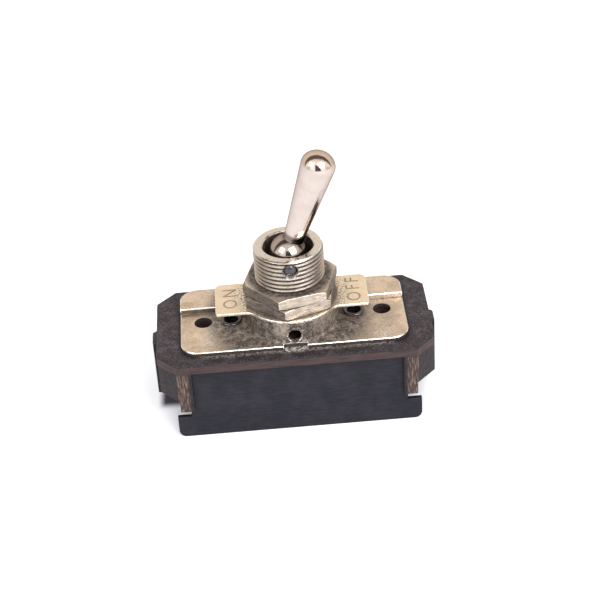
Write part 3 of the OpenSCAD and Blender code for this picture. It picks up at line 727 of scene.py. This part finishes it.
def turned(points, axis="Z"):
    """A closed solid spun from a profile of (radius, height) points, both ends on the axis."""
    bm = bmesh.new()
    verts = [bm.verts.new((r, 0, h)) for r, h in points]
    edges = [bm.edges.new(pair) for pair in zip(verts, verts[1:])]
    bmesh.ops.spin(bm, geom=verts + edges, cent=(0, 0, 0), axis=(0, 0, 1), angle=math.tau,
                   steps=TURNED_STEPS, use_merge=True)
    bmesh.ops.remove_doubles(bm, verts=bm.verts, dist=WELD)
    bmesh.ops.recalc_face_normals(bm, faces=bm.faces)
    if axis == "Y":
        bmesh.ops.rotate(bm, verts=bm.verts, matrix=Matrix.Rotation(math.pi / 2, 3, "X"))
    return bm


def rim_loop(bm, z):
    """Edges of the open boundary that lies at a height."""
    return [e for e in bm.edges
            if e.is_boundary and all(abs(v.co.z - z) < WELD for v in e.verts)]


def grow_rim(bm, edges, radius, z):
    """Extrudes a boundary to a circle of the given radius and height; returns the new boundary."""
    made = bmesh.ops.extrude_edge_only(bm, edges=edges)["geom"]
    for vert in (g for g in made if isinstance(g, bmesh.types.BMVert)):
        out = vert.co.xy.normalized() * radius
        vert.co = (out.x, out.y, z)
    return [g for g in made if isinstance(g, bmesh.types.BMEdge) and g.is_boundary]


def threaded_bushing():
    """Skin of the bushing: a helical thread, closed over its mouth, bore, foot and collar."""
    pitch, depth = sizes().thread_pitch, sizes().thread_depth
    top, foot = BUSHING_HIGH.z - MOUTH_CHAMFER, NUTS_HIGH - THREAD_HIDDEN
    crest, root = THREAD_R, THREAD_R - depth
    turns = math.ceil((top - foot) / pitch) + 2
    # One turn: radius, and height as a share of the pitch
    profile = [(root, 0.0), (root, 0.12), (crest, 0.44), (crest, 0.56), (root, 0.88), (root, 1.0)]
    bm = bmesh.new()
    verts = [bm.verts.new((r, 0, foot + (share - 1) * pitch)) for r, share in profile]
    edges = [bm.edges.new(pair) for pair in zip(verts, verts[1:])]
    bmesh.ops.spin(bm, geom=verts + edges, cent=(0, 0, 0), axis=(0, 0, 1),
                   dvec=(0, 0, pitch / THREAD_STEPS), angle=math.tau * turns,
                   steps=THREAD_STEPS * turns)
    bmesh.ops.remove_doubles(bm, verts=bm.verts, dist=WELD)
    for z, side in ((top, {"clear_outer": True}), (foot, {"clear_inner": True})):
        bmesh.ops.bisect_plane(bm, geom=bm.verts[:] + bm.edges[:] + bm.faces[:],
                               plane_co=(0, 0, z), plane_no=(0, 0, 1), **side)
    bore = rim_loop(bm, top)
    for radius, z in ((crest - MOUTH_CHAMFER - THREAD_STEP, BUSHING_HIGH.z),
                      (BORE_R + MOUTH_CHAMFER, BUSHING_HIGH.z), (BORE_R, top), (BORE_R, NUTS_LOW)):
        bore = grow_rim(bm, bore, radius, z)
    neck, collar, ledge = root - THREAD_STEP, BUSHING_HIGH.x, BUSHING_LOW.z + COLLAR_T
    shank = rim_loop(bm, foot)
    for radius, z in ((neck, foot), (neck, ledge), (collar, ledge), (collar, BUSHING_LOW.z),
                      (BORE_R + FOOT_WALL, BUSHING_LOW.z)):
        shank = grow_rim(bm, shank, radius, z)
    bmesh.ops.bridge_loops(bm, edges=bore + shank)
    bmesh.ops.recalc_face_normals(bm, faces=bm.faces)
    rubbed = bm.faces.layers.float.new("rubbed")
    for face in bm.faces:
        face[rubbed] = RIM_RUBBED * (face.calc_center_median().z > top + WELD)
    return bm


def word_mesh(text, centre, depth):
    """Stamp for a word whose letters stand towards the ON end and read from front to rear."""
    curve = bpy.data.curves.new("word", "FONT")
    curve.body = text
    curve.align_x = curve.align_y = "CENTER"
    curve.space_character = LETTER_SPACING
    curve.extrude = depth
    holder = bpy.data.objects.new("word", curve)
    bpy.context.scene.collection.objects.link(holder)
    graph = bpy.context.evaluated_depsgraph_get()
    mesh = bpy.data.meshes.new_from_object(holder.evaluated_get(graph))
    bpy.data.objects.remove(holder)
    ys = [v.co.y for v in mesh.vertices]
    scale = sizes().letter_height / (max(ys) - min(ys))
    middle = (max(ys) + min(ys)) / 2
    bm = bmesh.new()
    bm.from_mesh(mesh)
    bpy.data.meshes.remove(mesh)
    bmesh.ops.remove_doubles(bm, verts=bm.verts, dist=WELD)
    bmesh.ops.translate(bm, verts=bm.verts, vec=(0, -middle, 0))
    bmesh.ops.scale(bm, verts=bm.verts, vec=(scale, scale, 1))
    bmesh.ops.rotate(bm, verts=bm.verts, matrix=Matrix.Rotation(math.pi / 2, 3, "Z"))
    bmesh.ops.translate(bm, verts=bm.verts, vec=centre)
    return bm


class SWITCH_OT_base(bpy.types.Operator):
    """Moulded base with softened, filed edges, and the two barriers in its grooves"""
    bl_idname = "switch.base"
    bl_label = "Base and barriers"

    def execute(self, context):
        bm = bare_copy("base")
        soften(bm, sizes().moulded_edge)
        finish_piece(bm, "moulded_base", "phenolic", phenolic(), "base")
        fibre = barrier_fibre()
        for side in ("front", "rear"):
            bm = bare_copy("barrier_" + side)
            soften(bm, sizes().sheet_edge)
            finish_piece(bm, side + "_barrier", "fibre_dark", fibre, "barrier_" + side)
        return {"FINISHED"}


class SWITCH_OT_cover(bpy.types.Operator):
    """Pressed cover with rubbed edges, and its eyelets"""
    bl_idname = "switch.cover"
    bl_label = "Cover and eyelets"

    def execute(self, context):
        bm = bare_copy("cover")
        soften(bm, sizes().sheet_edge, 1, self.is_worn)
        sheet = plated("worn_nickel_sheet", "nickel", 0.42, (0.25, 0.6), 0.4 * MM, cover_stain_and_shade)
        finish_piece(bm, "pressed_cover", "nickel_sheet", sheet, "cover")
        finish_nodes(plated("tarnished_eyelet", "steel", 0.1, (0.25, 0.45), 1.8 * MM),
                     "eyelet_left", "eyelet_right")
        return {"FINISHED"}

    @staticmethod
    def is_worn(place):
        """True on the outline and the step, False round the holes."""
        inside = min(COVER_HIGH.x - abs(place.x), COVER_HIGH.y - abs(place.y))
        return place.z > PLATE_Z + 0.3 * STEP_H or inside < RUBBED_MARGIN


class SWITCH_OT_bushing(bpy.types.Operator):
    """Bushing with a cut thread, cross-drilled for the pivot pin"""
    bl_idname = "switch.bushing"
    bl_label = "Threaded bushing"

    def execute(self, context):
        finish = plated("nickelled_thread", "thread", 0.15, (0.22, 0.6), 0.6 * MM, thread_darkening)
        made = finish_piece(threaded_bushing(), "threaded_bushing", "nickel_brass", finish,
                            "bushing")
        hole = (PIN_HIGH.x - PIN_LOW.x) / 2 + PIN_PLAY
        rim, mouth = hole + SINK_FLARE, THREAD_R - SINK_DEPTH
        end = THREAD_R + DRILL_PAST
        drill = turned([(0, -end), (rim, -end), (hole, -mouth), (hole, mouth), (rim, end),
                        (0, end)], "Y")
        bmesh.ops.translate(drill, verts=drill.verts, vec=(0, 0, PIVOT.z))
        carve(made, drill, plain_metal("fresh_countersink", "nickel_bright_and_sheen", (0.3, 0.4), 0.1))
        bm = bare_copy("pivot_pin")
        soften(bm, PIN_DOME, DOME_STEPS)
        steel = plain_metal("dark_steel_pin", "steel", (0.25, 0.4), 0.7)
        finish_piece(bm, "domed_pivot_pin", "steel", steel, "pivot_pin")
        return {"FINISHED"}


class SWITCH_OT_nuts(bpy.types.Operator):
    """Two thin hex nuts with rubbed corners"""
    bl_idname = "switch.nuts"
    bl_label = "Hex nuts"

    def execute(self, context):
        finish = plated("nickelled_nut", "nickel", 0.45, (0.22, 0.5), 0.5 * MM, nut_dirt_and_shade, rub=0.1)
        for level in ("lower", "upper"):
            bm = bare_copy("nut_" + level)
            soften(bm, sizes().nut_edge)
            finish_piece(bm, level + "_hex_nut", "nickel_brass", finish, "nut_" + level)
        return {"FINISHED"}


class SWITCH_OT_legend(bpy.types.Operator):
    """Legend plate with ON and OFF stamped into its tabs"""
    bl_idname = "switch.legend"
    bl_label = "Legend plate"

    def execute(self, context):
        bm = bare_copy("legend_plate")
        soften(bm, sizes().legend_edge, 1)
        finish = plated("legend_nickel", "legend", 0.12, (0.26, 0.45), 0.7 * MM, legend_darkening)
        made = finish_piece(bm, "stamped_legend", "nickel_sheet", finish, "legend_plate")
        grime_and_shade = stamped_grime()
        middle = (LEGEND_HIGH.x + DRUM_R) / 2
        for text, side in (("ON", -1), ("OFF", 1)):
            centre = (side * middle, 0, LEGEND_HIGH.z)
            carve(made, word_mesh(text, centre, sizes().letter_depth), grime_and_shade)
        return {"FINISHED"}


class SWITCH_OT_lever(bpy.types.Operator):
    """Polished plating on the bat lever"""
    bl_idname = "switch.lever"
    bl_label = "Lever"

    def execute(self, context):
        finish_nodes(lever_plating(), "lever")
        return {"FINISHED"}


class SWITCH_OT_contacts(bpy.types.Operator):
    """Finishes of the mechanism inside: rocker, contacts, terminals, plunger, spring, insulator"""
    bl_idname = "switch.contacts"
    bl_label = "Contact mechanism"

    def execute(self, context):
        finish_nodes(plain_metal("stamped_brass", "brass", (0.3, 0.5)),
                     "rocker", "terminal_common", "terminal_on")
        finish_nodes(plain_metal("silver_point", "silver", (0.25, 0.45)),
                     "moving_contact", "fixed_contact")
        finish_nodes(plain_insulator("moulded_tip", "tip", 0.4 * MM), "plunger")
        finish_nodes(plain_insulator("fish_paper", "fish_paper", 0.3 * MM), "insulator")
        self.make_spring()
        return {"FINISHED"}

    def make_spring(self):
        """Coil spring that rides with the lever, on a mesh of its own."""
        steel = plain_metal("spring_steel", "steel", (0.25, 0.4))
        made = finish_piece(bare_copy("plunger_spring"), "coil_spring", "steel", steel,
                            "plunger_spring", body="lever")
        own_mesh(made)


class SWITCH_OT_stage(bpy.types.Operator):
    """White floor, soft studio light and the camera"""
    bl_idname = "switch.stage"
    bl_label = "Studio and camera"

    def execute(self, context):
        stage = context.scene.switch_stage
        context.scene.view_settings.view_transform = "Standard"
        self.make_floor()
        self.make_world(context, stage)
        self.make_lamp("right_lamp", RIGHT_LAMP, RIGHT_LAMP_SIZE, stage.right)
        self.make_lamp("left_lamp", LEFT_LAMP, LEFT_LAMP_SIZE, stage.left)
        self.make_surroundings()
        self.make_camera(context, stage)
        return {"FINISHED"}

    def make_floor(self):
        """White paper with shade painted below the switch; it glows a little for the camera, as in the photo."""
        bm = bmesh.new()
        bmesh.ops.create_grid(bm, x_segments=1, y_segments=1, size=FLOOR_HALF)
        mesh = bpy.data.meshes.new("floor")
        bm.to_mesh(mesh)
        bm.free()
        made, tree = blank_material("white_paper")
        # Painted shade on the paper where the switch hides the sky from it
        under = crevice(tree, SHADE_REACH, 0.1, 0.48)
        tone = add(tree, "Mix", {0: under, 6: opaque(PAPER), 7: opaque(PAPER_SHADE)}, 2,
                   data_type="RGBA")
        # A deep shadow is painted on the paper under the web of the ON end, which lies away from the key lamp
        place = add(tree, "TexCoord", out="Object")
        x, y, _ = add(tree, "SeparateXYZ", {0: place}).node.outputs
        painted_lee_shadow = add(tree, "Math", {0: band(tree, x, BASE_LOW.x + 1.0 * MM, PAINTED_SHADOW_END_X, 1.6 * MM),
                                 1: band(tree, y, -0.4 * MM, 1.6 * MM, 2.4 * MM)},
                  operation="MULTIPLY")
        tone = add(tree, "Mix", {0: painted_lee_shadow, 6: tone, 7: opaque(PAPER_PAINTED_SHADOW)}, 2, data_type="RGBA")
        paper = add(tree, "BsdfDiffuse", {"Color": tone})
        rays = add(tree, "LightPath").node.outputs
        seen = add(tree, "MapRange", {0: rays["Is Camera Ray"], 3: 0.0, 4: PAPER_SEEN})
        mirrored = add(tree, "MapRange", {0: rays["Is Glossy Ray"], 3: 0.0, 4: PAPER_MIRRORED})
        seen = add(tree, "Math", {0: seen, 1: mirrored}, operation="MAXIMUM")
        lift = add(tree, "Emission", {"Color": tone, "Strength": seen})
        whole = add(tree, "AddShader", {0: paper, 1: lift})
        add(tree, "OutputMaterial", {"Surface": whole})
        mesh.materials.append(made)
        floor = bpy.data.objects.new("floor", mesh)
        bpy.context.scene.collection.objects.link(floor)

    def make_world(self, context, stage):
        """Even light from all round, which the camera and polished metal see as white."""
        world = bpy.data.worlds.new("studio")
        context.scene.world = world
        world.use_nodes = True
        tree = world.node_tree
        tree.nodes.clear()
        rays = add(tree, "LightPath").node.outputs
        seen = add(tree, "Math", {0: rays["Is Camera Ray"], 1: rays["Is Glossy Ray"]},
                   operation="MAXIMUM")
        seen = add(tree, "Math", {0: seen, 1: rays["Is Transmission Ray"]}, operation="MAXIMUM")
        strength = add(tree, "MapRange", {0: seen, 3: stage.fill, 4: 1.0})
        light = add(tree, "Background", {"Color": opaque("#ffffff"), "Strength": strength})
        add(tree, "OutputWorld", {"Surface": light})

    def make_lamp(self, name, place, size, power):
        """Square lamp that points at the switch."""
        lamp = bpy.data.lights.new(name, "AREA")
        lamp.size = size
        lamp.energy = power
        made = bpy.data.objects.new(name, lamp)
        made.location = place
        made.rotation_euler = (LAMP_AIM - place).to_track_quat("-Z", "Y").to_euler()
        bpy.context.scene.collection.objects.link(made)

    def make_surroundings(self):
        """Room that only polished metal sees: pale, with a dark arch overhead, and in front a window
        on each side of a dim patch."""
        bm = bmesh.new()
        bmesh.ops.create_uvsphere(bm, u_segments=ROOM_SEGMENTS, v_segments=ROOM_RINGS,
                                  radius=ROOM_R)
        bmesh.ops.bisect_plane(bm, geom=bm.verts[:] + bm.edges[:] + bm.faces[:],
                               plane_co=(0, 0, ROOM_FLOOR), plane_no=(0, 0, 1), clear_inner=True)
        mesh = bpy.data.meshes.new("room")
        bm.to_mesh(mesh)
        bm.free()
        made, tree = blank_material("painted_room")
        place = add(tree, "TexCoord", out="Object")
        x, y, z = add(tree, "SeparateXYZ", {0: place}).node.outputs
        ahead = add(tree, "Math", {0: y, 1: -1.0}, operation="MULTIPLY")
        over = add(tree, "Math", {0: z, 1: ahead}, operation="ARCTAN2")
        aside = add(tree, "Math", {0: x, 1: ahead}, operation="ARCTAN2")
        aside = add(tree, "Math", {0: aside}, operation="ABSOLUTE")
        tone = opaque(ROOM_PAINT)
        for code, *limits in ROOM_PATCHES:
            low, high, near, far = map(math.radians, limits)
            patch = add(tree, "Math", {0: band(tree, over, low, high, ROOM_SOFT),
                                       1: band(tree, aside, near, far, ROOM_SOFT)},
                        operation="MULTIPLY")
            tone = add(tree, "Mix", {0: patch, 6: tone, 7: opaque(code)}, 2, data_type="RGBA")
        window = add(tree, "Math", {0: band(tree, over, *WINDOW_OVER, ROOM_SOFT),
                                    1: band(tree, aside, *WINDOW_ASIDE, ROOM_SOFT)},
                     operation="MULTIPLY")
        bright = add(tree, "Math", {0: window, 1: band(tree, over, *SKY_OVER, SKY_SOFT)},
                     operation="MAXIMUM")
        strength = add(tree, "MapRange", {0: bright, 3: 1.0, 4: ROOM_GLOW})
        glow = add(tree, "Emission", {"Color": tone, "Strength": strength})
        add(tree, "OutputMaterial", {"Surface": glow})
        mesh.materials.append(made)
        room = bpy.data.objects.new("room", mesh)
        bpy.context.scene.collection.objects.link(room)
        for ray in ("camera", "diffuse", "transmission", "shadow", "volume_scatter"):
            setattr(room, "visible_" + ray, False)

    def make_camera(self, context, stage):
        """Camera that looks at its target from two angles and a distance, with a little roll."""
        a, e = stage.azimuth, stage.elevation
        right = Vector((math.cos(a), math.sin(a), 0))
        back = Vector((math.sin(a) * math.cos(e), -math.cos(a) * math.cos(e), math.sin(e)))
        axes = Matrix((right, back.cross(right), back)).transposed()
        camera = bpy.data.cameras.new("camera")
        camera.sensor_width = SENSOR
        camera.lens = stage.lens
        camera.clip_start = CLIP_START
        made = bpy.data.objects.new("camera", camera)
        turned_axes = (axes @ Matrix.Rotation(stage.roll, 3, "Z")).to_4x4()
        place = Vector(stage.target) + back * stage.distance
        made.matrix_world = Matrix.Translation(place) @ turned_axes
        context.scene.collection.objects.link(made)
        context.scene.camera = made


class SWITCH_PT_panel(bpy.types.Panel):
    """Lists the steps that dress the switch, with their sizes and colours"""
    bl_label = "Selector Switch"
    bl_idname = "SWITCH_PT_panel"
    bl_space_type = "VIEW_3D"
    bl_region_type = "UI"
    bl_category = "Switch"

    def draw(self, context):
        for step in STEPS:
            self.layout.operator(step.bl_idname)
        for group in ("switch_sizes", "switch_colours", "switch_stage"):
            box = self.layout.box()
            values = getattr(context.scene, group)
            for name in values.__annotations__:
                box.prop(values, name)


GROUPS = {
    "switch_sizes": SwitchSizes, "switch_colours": SwitchColours, "switch_stage": SwitchStage,
}
STEPS = (
    SWITCH_OT_base, SWITCH_OT_cover, SWITCH_OT_bushing, SWITCH_OT_nuts, SWITCH_OT_legend,
    SWITCH_OT_lever, SWITCH_OT_contacts, SWITCH_OT_stage,
)


def register():
    for made in (*GROUPS.values(), *STEPS, SWITCH_PT_panel):
        bpy.utils.register_class(made)
    for name, group in GROUPS.items():
        setattr(bpy.types.Scene, name, PointerProperty(type=group))


def unregister():
    for name in GROUPS:
        delattr(bpy.types.Scene, name)
    for made in reversed((*GROUPS.values(), *STEPS, SWITCH_PT_panel)):
        bpy.utils.unregister_class(made)


def main():
    register()
    for step in STEPS:
        group, name = step.bl_idname.split(".")
        getattr(getattr(bpy.ops, group), name)()


if __name__ == "__main__":
    main()
